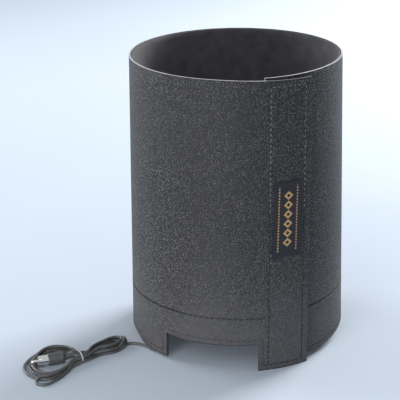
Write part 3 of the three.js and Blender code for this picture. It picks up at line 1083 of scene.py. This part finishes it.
@dataclass
class Stitching:
    """Runs of lockstitch on the outside of the sheet."""

    roll: Roll
    pitch: float = 4.8 * MM
    length: float = 2.7 * MM
    thread: float = 1.0 * MM
    flatness: float = 0.8
    sunk: float = 0.12 * MM
    slant: float = 0.12
    pale_above: float = 0.55
    seed: int = 11
    dark: bpy.types.Material = field(init=False)
    pale: bpy.types.Material = field(init=False)
    rng: random.Random = field(init=False)

    def __post_init__(self) -> None:
        """Makes the threads' materials."""
        self.rng = random.Random(self.seed)
        self.dark = Yarn("dark_thread", 0.005).material()
        self.pale = Yarn("grey_thread", 0.17).material()

    def _stitch(self, bm: bmesh.types.BMesh, start: Vector, end: Vector, out: Vector) -> None:
        """Adds one stitch, a flattened bead between two points.

        Args:
            bm: the bmesh that it goes to.
            start: where the thread comes up.
            end: where it goes down.
            out: the direction away from the sheet.
        """
        along = (end - start).normalized()
        side = out.cross(along).normalized()
        half = (end - start).length / 2
        basis = Matrix((along, side, out)).transposed().to_4x4()
        slant = Matrix.Rotation(self.rng.uniform(-self.slant, self.slant), 4, "Z")
        size = Matrix.Diagonal((half, self.thread / 2, self.thread / 2 * self.flatness, 1))
        centre = Matrix.Translation((start + end) / 2)
        bmesh.ops.create_uvsphere(
            bm, u_segments=6, v_segments=5, radius=1.0, matrix=centre @ basis @ slant @ size
        )

    def _run(self, bm: bmesh.types.BMesh, points: Sequence[FlatPoint]) -> None:
        """Sews along a line on the flat sheet.

        Args:
            bm: the bmesh that the stitches go to.
            points: the line's angles and heights.
        """
        roll = self.roll
        for (a0, h0), (a1, h1) in zip(points, points[1:]):
            arc = math.hypot(math.radians(a1 - a0) * roll.top_radius, h1 - h0)
            count = max(1, round(arc / self.pitch))
            share = self.length / self.pitch / count
            for i in range(count):
                at = (i + 0.5) / count
                ends = []
                for t in (at - share / 2, at + share / 2):
                    angle, height = a0 + (a1 - a0) * t, h0 + (h1 - h0) * t
                    ends.append(roll.place(angle, roll.fitted(angle, height), self.sunk))
                middle = (ends[0] + ends[1]) / 2
                out = Vector((middle.x, middle.y, 0)).normalized()
                self._stitch(bm, ends[0], ends[1], out)

    def closure(self) -> bpy.types.Object:
        """Sews the tall rectangle that holds the loop strip inside the flap.

        Returns:
            The stitches, grey on the flap's upper part and dark below it.
        """
        corners = self.roll.closure_corners
        bm = bmesh.new()
        self._run(bm, [*corners, corners[0]])
        made = new_object("closure_stitches", bm, "grey_thread", self.pale, self.dark)
        for face in made.data.polygons:
            high = face.center.z > self.pale_above * self.roll.height
            face.material_index = 0 if high else 1
        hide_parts("closure_thread")
        return made

    def hem(self) -> bpy.types.Object:
        """Sews the foot, the tabs and the notch.

        Returns:
            The stitches of the whole hem.
        """
        bm = bmesh.new()
        self._run(bm, self.roll.hem_corners)
        made = new_object("hem_stitches", bm, "dark_thread", self.dark)
        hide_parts("hem_thread")
        return made

    def seam(self) -> bpy.types.Object:
        """Sews the seam above the heated band.

        Returns:
            The stitches of the seam.
        """
        bm = bmesh.new()
        self._run(bm, self.roll.seam_ends)
        made = new_object("seam_stitches", bm, "dark_thread", self.dark)
        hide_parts("heater_seam_thread")
        return made


@dataclass
class Label:
    """The woven label on the flap, with a slight ripple along its sides."""

    roll: Roll
    foot: float = 104 * MM
    height: float = 67.5 * MM
    width: float = 16.4
    aside: float = 0.1
    tilt: float = 0.9
    step: Span = (1.1, 2 * MM)
    thickness: float = 0.45 * MM
    gap: float = 0.2 * MM
    ripple: float = 0.12 * MM
    ripple_rate: float = 210.0
    ripple_reach: float = 6.0

    def build(self) -> bpy.types.Object:
        """Builds the label.

        Returns:
            The object, which stands for the label of the frame.
        """
        roll = self.roll
        left, right, _ = roll.closure
        low = (left + right - self.width) / 2 - self.aside
        bm = flat_sheet(low, low + self.width, self.foot, self.foot + self.height, self.step)
        uv = bm.loops.layers.uv.new("label")
        for face in bm.faces:
            for loop in face.loops:
                flat = loop.vert.co
                share = ((flat.x - low) / self.width, (flat.y - self.foot) / self.height)
                loop[uv].uv = share
        for vert in bm.verts:
            angle, height, _ = vert.co
            edge = min(angle - low, low + self.width - angle) / self.width
            near_edge = 1 - min(1.0, edge * self.ripple_reach)
            lift = self.ripple * math.sin(height * self.ripple_rate) * near_edge
            angle += self.tilt * ((height - self.foot) / self.height - 0.5)
            vert.co = roll.place(angle, height, -self.gap - self.thickness - lift)
        bmesh.ops.recalc_face_normals(bm, faces=bm.faces)
        made = new_object("label_cloth", bm, "woven_label", WovenLabel().material())
        give_wall(made, self.thickness)
        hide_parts("woven_label")
        return made


@dataclass
class Cord:
    """The power cord: from the foot of the sheet, through its hank, to the plug.

    Tables of points and the end at the plug are in millimetres.
    """

    roll: Roll
    diameter: float = 2.6 * MM
    length: float = 1.3
    joint_angle: float = 313.5
    depth: float = 4.0 * MM
    tie: Vector = field(default_factory=lambda: Vector((-138.5, -77)) * MM)
    heading: float = math.atan2(41, 47)
    slot_pitch: float = 2.4 * MM
    slot_half: float = 3.0 * MM
    rows: Span = (2.6 * MM, 5.3 * MM)
    lead_inside: tuple[FlatPoint, ...] = ((0.0, 11.3), (0.0, 9.3), (0.3, 6.4), (1.5, 3.2))
    lead_foot: Span = (3.6, 0.2)
    lead_outside: tuple[FlatPoint, ...] = (
        (-76.3, -57.2), (-81.5, -51.9), (-87.2, -47.4), (-93.4, -45.0), (-98.8, -45.4),
        (-103.65, -47.7), (-109.5, -51.3), (-117.5, -57.0), (-127.0, -64.8),
    )
    left_loops: tuple[tuple[Point, ...], ...] = (
        (
            (-145.6, -73, 2.4), (-150.5, -68.6, 1.6), (-158, -64, 1.3), (-168, -62.5, 1.3),
            (-178, -67, 1.3), (-184, -77, 1.3), (-187, -89, 1.3), (-184.5, -101, 1.3),
            (-178, -110, 1.3), (-170, -115, 1.3), (-160, -113.5, 1.3), (-152, -104, 1.3),
            (-146, -93, 1.6),
        ),
        (
            (-145.6, -71.4, 4.9), (-150, -66.6, 4.6), (-157.5, -61.8, 4.2), (-167, -60.6, 4.0),
            (-175, -65.5, 3.6), (-180.5, -75, 1.8), (-182.6, -87, 1.3), (-180, -98, 1.3),
            (-174, -106.5, 1.3), (-166, -110.5, 1.3), (-158, -108, 1.3), (-151, -99, 1.3),
            (-146, -90, 1.8),
        ),
        (
            (-145.6, -70.4, 7.6), (-150, -66.6, 7.5), (-157.5, -62.8, 7.0), (-166, -62.2, 6.6),
            (-173, -67.5, 6.2), (-178, -76, 4.3), (-180.4, -87, 3.8), (-178, -97.6, 3.8),
            (-172, -105, 3.8), (-164, -108.6, 3.8), (-156, -105, 3.8), (-150, -96.6, 3.8),
            (-145, -87.6, 3.9),
        ),
        (
            (-145.6, -73.6, 4.9), (-150.5, -70.2, 4.3), (-158, -66.2, 3.9), (-165, -65.2, 3.9),
            (-171, -69.8, 3.6), (-175, -78, 1.8), (-177, -87.5, 1.4), (-174.6, -96.4, 1.3),
            (-169, -102.6, 1.3), (-162, -105.4, 1.3), (-155, -101.5, 1.3), (-149.5, -93.6, 1.3),
            (-145, -85.6, 2.2),
        ),
        (
            (-144.6, -89.5, 4.2), (-147.5, -99.5, 2.2), (-152, -109.6, 1.3), (-157.5, -118.6, 1.3),
            (-163, -124.4, 1.3), (-169, -124.9, 1.3), (-172.4, -120.8, 1.5), (-170, -116, 3.9),
            (-163.5, -112.6, 4.1), (-156, -107.6, 4.1), (-149.5, -98, 4.1), (-145, -88.6, 6.0),
        ),
    )
    right_loops: tuple[tuple[Point, ...], ...] = (
        (
            (-121, -67.6, 1.4), (-112.5, -63.6, 1.3), (-105.5, -57.6, 1.3), (-101.6, -50, 3.6),
            (-101.4, -43, 3.9), (-105.6, -38.2, 1.6), (-112, -38.6, 1.3), (-119.5, -44.6, 1.3),
            (-127, -53.8, 1.4),
        ),
        (
            (-122.4, -65.6, 1.3), (-114, -61, 1.3), (-108, -55.4, 1.4), (-104.2, -49, 4.0),
            (-104, -44, 3.9), (-107.6, -40.8, 1.6), (-113, -41.4, 1.3), (-120, -47.4, 1.3),
            (-128, -56.6, 2.6),
        ),
        (
            (-124, -65, 4.0), (-116.5, -60, 4.0), (-110.6, -54.8, 4.0), (-107.4, -49.4, 4.2),
            (-107.8, -45.4, 4.0), (-111.2, -44.2, 3.9), (-116, -47.2, 3.7), (-122, -53.2, 3.7),
            (-129, -60.4, 3.9),
        ),
        (
            (-121.6, -66.9, 4.0), (-113, -62.6, 3.9), (-106.4, -56.8, 3.9), (-102.6, -49.6, 6.3),
            (-102.4, -43.4, 6.4), (-106, -39, 4.6), (-112.2, -39.6, 4.0), (-119.6, -45.8, 3.9),
            (-127.4, -55, 4.2),
        ),
        (
            (-123.4, -64.4, 6.4), (-115.4, -60, 6.5), (-109, -55, 6.5), (-105.2, -49.4, 6.6),
            (-105, -45, 6.5), (-108.6, -42.2, 6.4), (-114, -43.8, 6.4), (-120.8, -50, 6.3),
            (-128, -58, 6.0),
        ),
    )
    feed_slots: tuple[tuple[float, int], ...] = (
        (2.0, 1), (1.0, 1), (2.5, 0), (1.5, 0), (-1.0, 1), (0.0, 1),
    )
    return_slots: tuple[tuple[float, int], ...] = (
        (-2.5, 0), (-1.5, 0), (-0.5, 0), (0.5, 0), (-2.0, 1),
    )
    plug_end: Point = (-144.75, -77.2, 5.5)

    def lead(self) -> list[Vector]:
        """The route from the joint in the hem to the hank.

        Returns:
            Points down inside the hem, and then on the floor.
        """
        floor = self.diameter / 2
        angle = self.joint_angle
        down = [
            self.roll.place(angle - back, height * MM, self.depth)
            for back, height in self.lead_inside
        ]
        back, above = self.lead_foot
        down.append(self.roll.place(angle - back, floor + above * MM, self.depth))
        return down + [Vector((x * MM, y * MM, floor)) for x, y in self.lead_outside]

    def _slot(self, slot: tuple[float, int], along: float = 0.0) -> Vector:
        """A strand's place in the tie.

        Args:
            slot: how many strands it lies aside, and its row.
            along: metres along the hank from the tie.

        Returns:
            The point.
        """
        side, row = slot
        across = side * self.slot_pitch
        cosine, sine = math.cos(self.heading), math.sin(self.heading)
        x = self.tie.x + along * cosine - across * sine
        y = self.tie.y + along * sine + across * cosine
        return Vector((x, y, self.rows[row]))

    def route(self) -> list[Vector]:
        """The whole centreline.

        Returns:
            The points of the lead, of every turn of the hank and of the plug's tail.
        """
        step = self.slot_half
        points = self.lead()
        turns = zip(self.feed_slots, self.return_slots, self.left_loops, self.right_loops)
        for feed, back, left, right in turns:
            points.append(self._slot(feed, step))
            points += in_metres(left)
            points += [self._slot(back, -step), self._slot(back, step)]
            points += in_metres(right)
        last = self.feed_slots[-1]
        points += [self._slot(last, step), self._slot(last, -step * 0.3)]
        return points + in_metres([self.plug_end])

    def build(self, pieces: Iterable[Union[str, bpy.types.Object]]) -> bpy.types.Object:
        """Args:
            pieces: the plug's pieces and the tie; not used.

        Returns:
            The curve, which stands for the lead and the hank of the frame.
        """
        route = self.route()
        curve = new_curve("power_cord", self.diameter / 2, 3)
        curve.resolution_u = 8
        spline = curve.splines.new("BEZIER")
        spline.bezier_points.add(len(route) - 1)
        for knot, point in zip(spline.bezier_points, route):
            knot.co = point
            knot.handle_left_type = "AUTO"
            knot.handle_right_type = "AUTO"
        curve.materials.append(Jacket().material())
        made = bpy.data.objects.new("power_cord", curve)
        link_piece(made)
        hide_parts("cord_lead", "cord_hank")
        tuple(self.roll.place(self.joint_angle, self.roll.cord_rise, self.depth))
        LOG.info("power_cord: %d points", len(route))
        return made


@dataclass
class TwistTie:
    """The wire tie round the hank, with its twisted tail. The tie is black; its ring is painted
    pale grey as a painted highlight.
    """

    place: Vector
    heading: float = 20.0
    half: float = 7.1 * MM
    low: float = 0.6 * MM
    high: float = 7.4 * MM
    corner: float = 2.2 * MM
    corner_step: int = 15
    wire: float = 0.5 * MM
    tail_points: int = 17
    tail_turn: float = 0.75
    tail_step: float = 0.25 * MM
    tail_half: float = 0.6 * MM

    @property
    def side(self) -> Vector:
        """The direction across the tie, which sits a little askew on the hank."""
        turned = math.radians(self.heading)
        return Vector((-math.sin(turned), math.cos(turned), 0))

    def _ring(self) -> list[Vector]:
        """The wire round the hank.

        Returns:
            The points of a rectangle with round corners.
        """
        ring = []
        for degrees in range(0, 360, self.corner_step):
            turn = math.radians(degrees)
            across = math.copysign(self.half - self.corner, math.cos(turn))
            across += self.corner * math.cos(turn)
            up = (self.low + self.high) / 2
            up += math.copysign((self.high - self.low) / 2 - self.corner, math.sin(turn))
            up += self.corner * math.sin(turn)
            ring.append(self.place.to_3d() + self.side * across + Vector((0, 0, up)))
        return ring

    def _tail(self, phase: float) -> list[Vector]:
        """One of the two twisted ends.

        Args:
            phase: where on the twist it starts, in radians.

        Returns:
            The points, away from the tie.
        """
        root = self.place.to_3d() + self.side * self.half * 0.9 + Vector((0, 0, self.high))
        away = (self.side * 0.4 + Vector((-1, 0, 0.1))).normalized()
        side = away.cross(Vector((0, 0, 1))).normalized()
        above = side.cross(away)
        tail = []
        for i in range(self.tail_points):
            turn = phase + i * self.tail_turn
            offset = side * math.cos(turn) + above * math.sin(turn)
            tail.append(root + away * (i * self.tail_step) + offset * self.tail_half)
        return tail

    def build(self) -> bpy.types.Object:
        """Builds the tie.

        Returns:
            The object, which stands for the tie of the frame.
        """
        curve = new_curve("twist_tie", self.wire, 2)
        strands = ((self._ring(), 0), (self._tail(0.0), 1), (self._tail(math.pi), 1))
        for points, material in strands:
            spline = curve.splines.new("POLY")
            spline.points.add(len(points) - 1)
            spline.material_index = material
            spline.use_cyclic_u = material == 0
            for knot, point in zip(spline.points, points):
                knot.co = (*point, 1)
        # Painted highlight: the black tie's ring is painted pale grey; the tail keeps the tie's
        # dark colour.
        curve.materials.append(Jacket("tie_wire", grey(0.42), 0.28).material())
        curve.materials.append(Jacket("tie_tail", grey(0.05), 0.4).material())
        made = bpy.data.objects.new("twist_tie", curve)
        link_piece(made)
        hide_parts("cord_tie")
        LOG.info("twist_tie: %d strands", len(strands))
        return made


@dataclass
class FrameFinishes:
    """Finishes of the pieces that the frame already shapes."""

    nodes: dict[str, bpy.types.Object]

    def dress(self) -> None:
        """Gives each carried-over node its procedural finish."""
        chrome = Metal("chrome_plate", rgba(0.8, 0.79, 0.78)).material()
        moulded = Jacket("moulded_plastic", grey(0.07, 0.02), 0.3).material()
        crimp = Metal("tinned_crimp", rgba(0.6, 0.6, 0.62), 0.25).material()
        finishes = {
            "plug_centre_pin": chrome,
            "plug_ground_shell": chrome,
            "plug_body": moulded,
            "plug_strain_relief": moulded,
            "plug_insulator": Jacket("pale_insulator", rgba(0.7, 0.68, 0.6), 0.45).material(),
            "hook_strip": Yarn("hook_tape", 0.012, 0.5 * MM, 0.8).material(),
            "loop_strip": Yarn("loop_tape", 0.015, 0.4 * MM, 0.95).material(),
            "heater_tape": Yarn("woven_tape", 0.5, 0.6 * MM, 0.85).material(),
            "heating_wire": Metal("resistance_wire", rgba(0.5, 0.48, 0.45), 0.3).material(),
            "lead_left": Jacket("lead_red", rgba(0.35, 0.02, 0.015), 0.45).material(),
            "lead_right": Jacket("lead_black", grey(0.012), 0.45).material(),
            "joint_sleeve": Jacket("shrink_sleeve", grey(0.009), 0.5).material(),
            "crimp_left": crimp,
            "crimp_right": crimp,
        }
        for name, material in finishes.items():
            node = self.nodes[name]
            node.data.materials.clear()
            node.data.materials.append(material)
            LOG.info("%s: %s", name, material.name)


@dataclass(frozen=True)
class Lamp:
    """A soft square lamp."""

    name: str
    place: Point
    size: float
    power: float
    aim: Point = (0.0, 0.0, 0.13)

    def build(self) -> None:
        """Hangs the lamp and turns it to its aim."""
        data = bpy.data.lights.new(self.name, "AREA")
        data.size = self.size
        data.energy = self.power
        made = bpy.data.objects.new(self.name, data)
        made.visible_camera = False
        direction = Vector(self.aim) - Vector(self.place)
        turn = direction.to_track_quat("-Z", "Y").to_matrix().to_4x4()
        made.matrix_world = Matrix.Translation(Vector(self.place)) @ turn
        bpy.context.scene.collection.objects.link(made)


@dataclass
class Studio:
    """The camera, the lamps, the floor and the world.

    The camera's distance and height are in radii of the shield.
    """

    radius: float = 93.5 * MM
    distance: float = 12.682
    rise: float = 5.953
    pitch: float = 20.08
    yaw: float = -1.60
    roll: float = -0.842
    focal_pixels: float = 1392.6
    frame_pixels: float = 400.0
    sensor: float = 36.0
    lamps: tuple[Lamp, ...] = (
        Lamp("key", (-0.75, -1.6, 1.5), 1.0, 7.0),
        Lamp("left_side", (-1.5, 0.75, 0.6), 0.9, 17.0),
        Lamp("right_side", (1.2, 1.35, 1.05), 0.9, 54.0),
        Lamp("low_left", (-0.4, -0.72, 0.06), 0.35, 5.6, (0.0, 0.0, 0.04)),
    )
    sky: Colour = rgba(0.9, 0.95, 1.0)
    world_light: float = 0.4
    world_seen: float = 0.62
    floor_size: float = 6.0
    floor_shades: tuple[Colour, Colour] = (rgba(0.52, 0.59, 0.68), rgba(0.56, 0.63, 0.72))

    def camera(self) -> None:
        """Sets the camera where the photograph was taken from."""
        data = bpy.data.cameras.new("camera")
        data.sensor_width = self.sensor
        data.lens = self.focal_pixels * self.sensor / self.frame_pixels
        made = bpy.data.objects.new("camera", data)
        place = Vector((0, -self.distance, self.rise)) * self.radius
        made.matrix_world = (
            Matrix.Translation(place)
            @ Matrix.Rotation(math.radians(-self.yaw), 4, "Z")
            @ Matrix.Rotation(math.radians(90 - self.pitch), 4, "X")
            @ Matrix.Rotation(math.radians(self.roll), 4, "Z")
        )
        bpy.context.scene.collection.objects.link(made)
        bpy.context.scene.camera = made

    def floor(self) -> None:
        """Lays a plain pale floor."""
        bm = bmesh.new()
        bmesh.ops.create_grid(bm, x_segments=1, y_segments=1, size=self.floor_size)
        mesh = bpy.data.meshes.new("floor")
        bm.to_mesh(mesh)
        bm.free()
        graph = Graph("floor_paper")
        colour = graph.mix(graph.noise(graph.place(), 3.0), *self.floor_shades)
        mesh.materials.append(graph.finish(Base_Color=colour, Roughness=0.9))
        made = bpy.data.objects.new("floor", mesh)
        bpy.context.scene.collection.objects.link(made)

    def light(self) -> None:
        """Lights the object as in the photograph: soft, with bright sides."""
        for lamp in self.lamps:
            lamp.build()
        world = bpy.data.worlds.new("world")
        world.use_nodes = True
        tree = world.node_tree
        background = tree.nodes["Background"]
        background.inputs[0].default_value = self.sky
        rays = tree.nodes.new("ShaderNodeLightPath")
        seen = tree.nodes.new("ShaderNodeMath")
        seen.operation = "MAXIMUM"
        tree.links.new(rays.outputs["Is Camera Ray"], seen.inputs[0])
        tree.links.new(rays.outputs["Is Glossy Ray"], seen.inputs[1])
        strength = tree.nodes.new("ShaderNodeMapRange")
        strength.inputs[3].default_value = self.world_light
        strength.inputs[4].default_value = self.world_seen
        tree.links.new(seen.outputs[0], strength.inputs[0])
        tree.links.new(strength.outputs[0], background.inputs[1])
        bpy.context.scene.world = world
        bpy.context.scene.view_settings.view_transform = "Standard"


def main() -> None:
    """Builds every piece around the frame."""
    logging.basicConfig(level=logging.INFO, format="%(message)s")
    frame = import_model()
    studio = Studio()
    studio.camera()
    roll = Roll()
    cord = Cord(roll)
    plug = [name for name in frame["nodes"] if name.startswith("plug_")]
    tie = TwistTie(cord.tie).build()
    cord.build([*plug, tie])
    sheet = Sheet(roll)
    sheet.shell()
    sheet.felt()
    stitching = Stitching(roll)
    stitching.closure()
    stitching.hem()
    stitching.seam()
    Label(roll).build()
    FrameFinishes(frame["nodes"]).dress()
    studio.floor()
    studio.light()


if __name__ == "__main__":
    main()
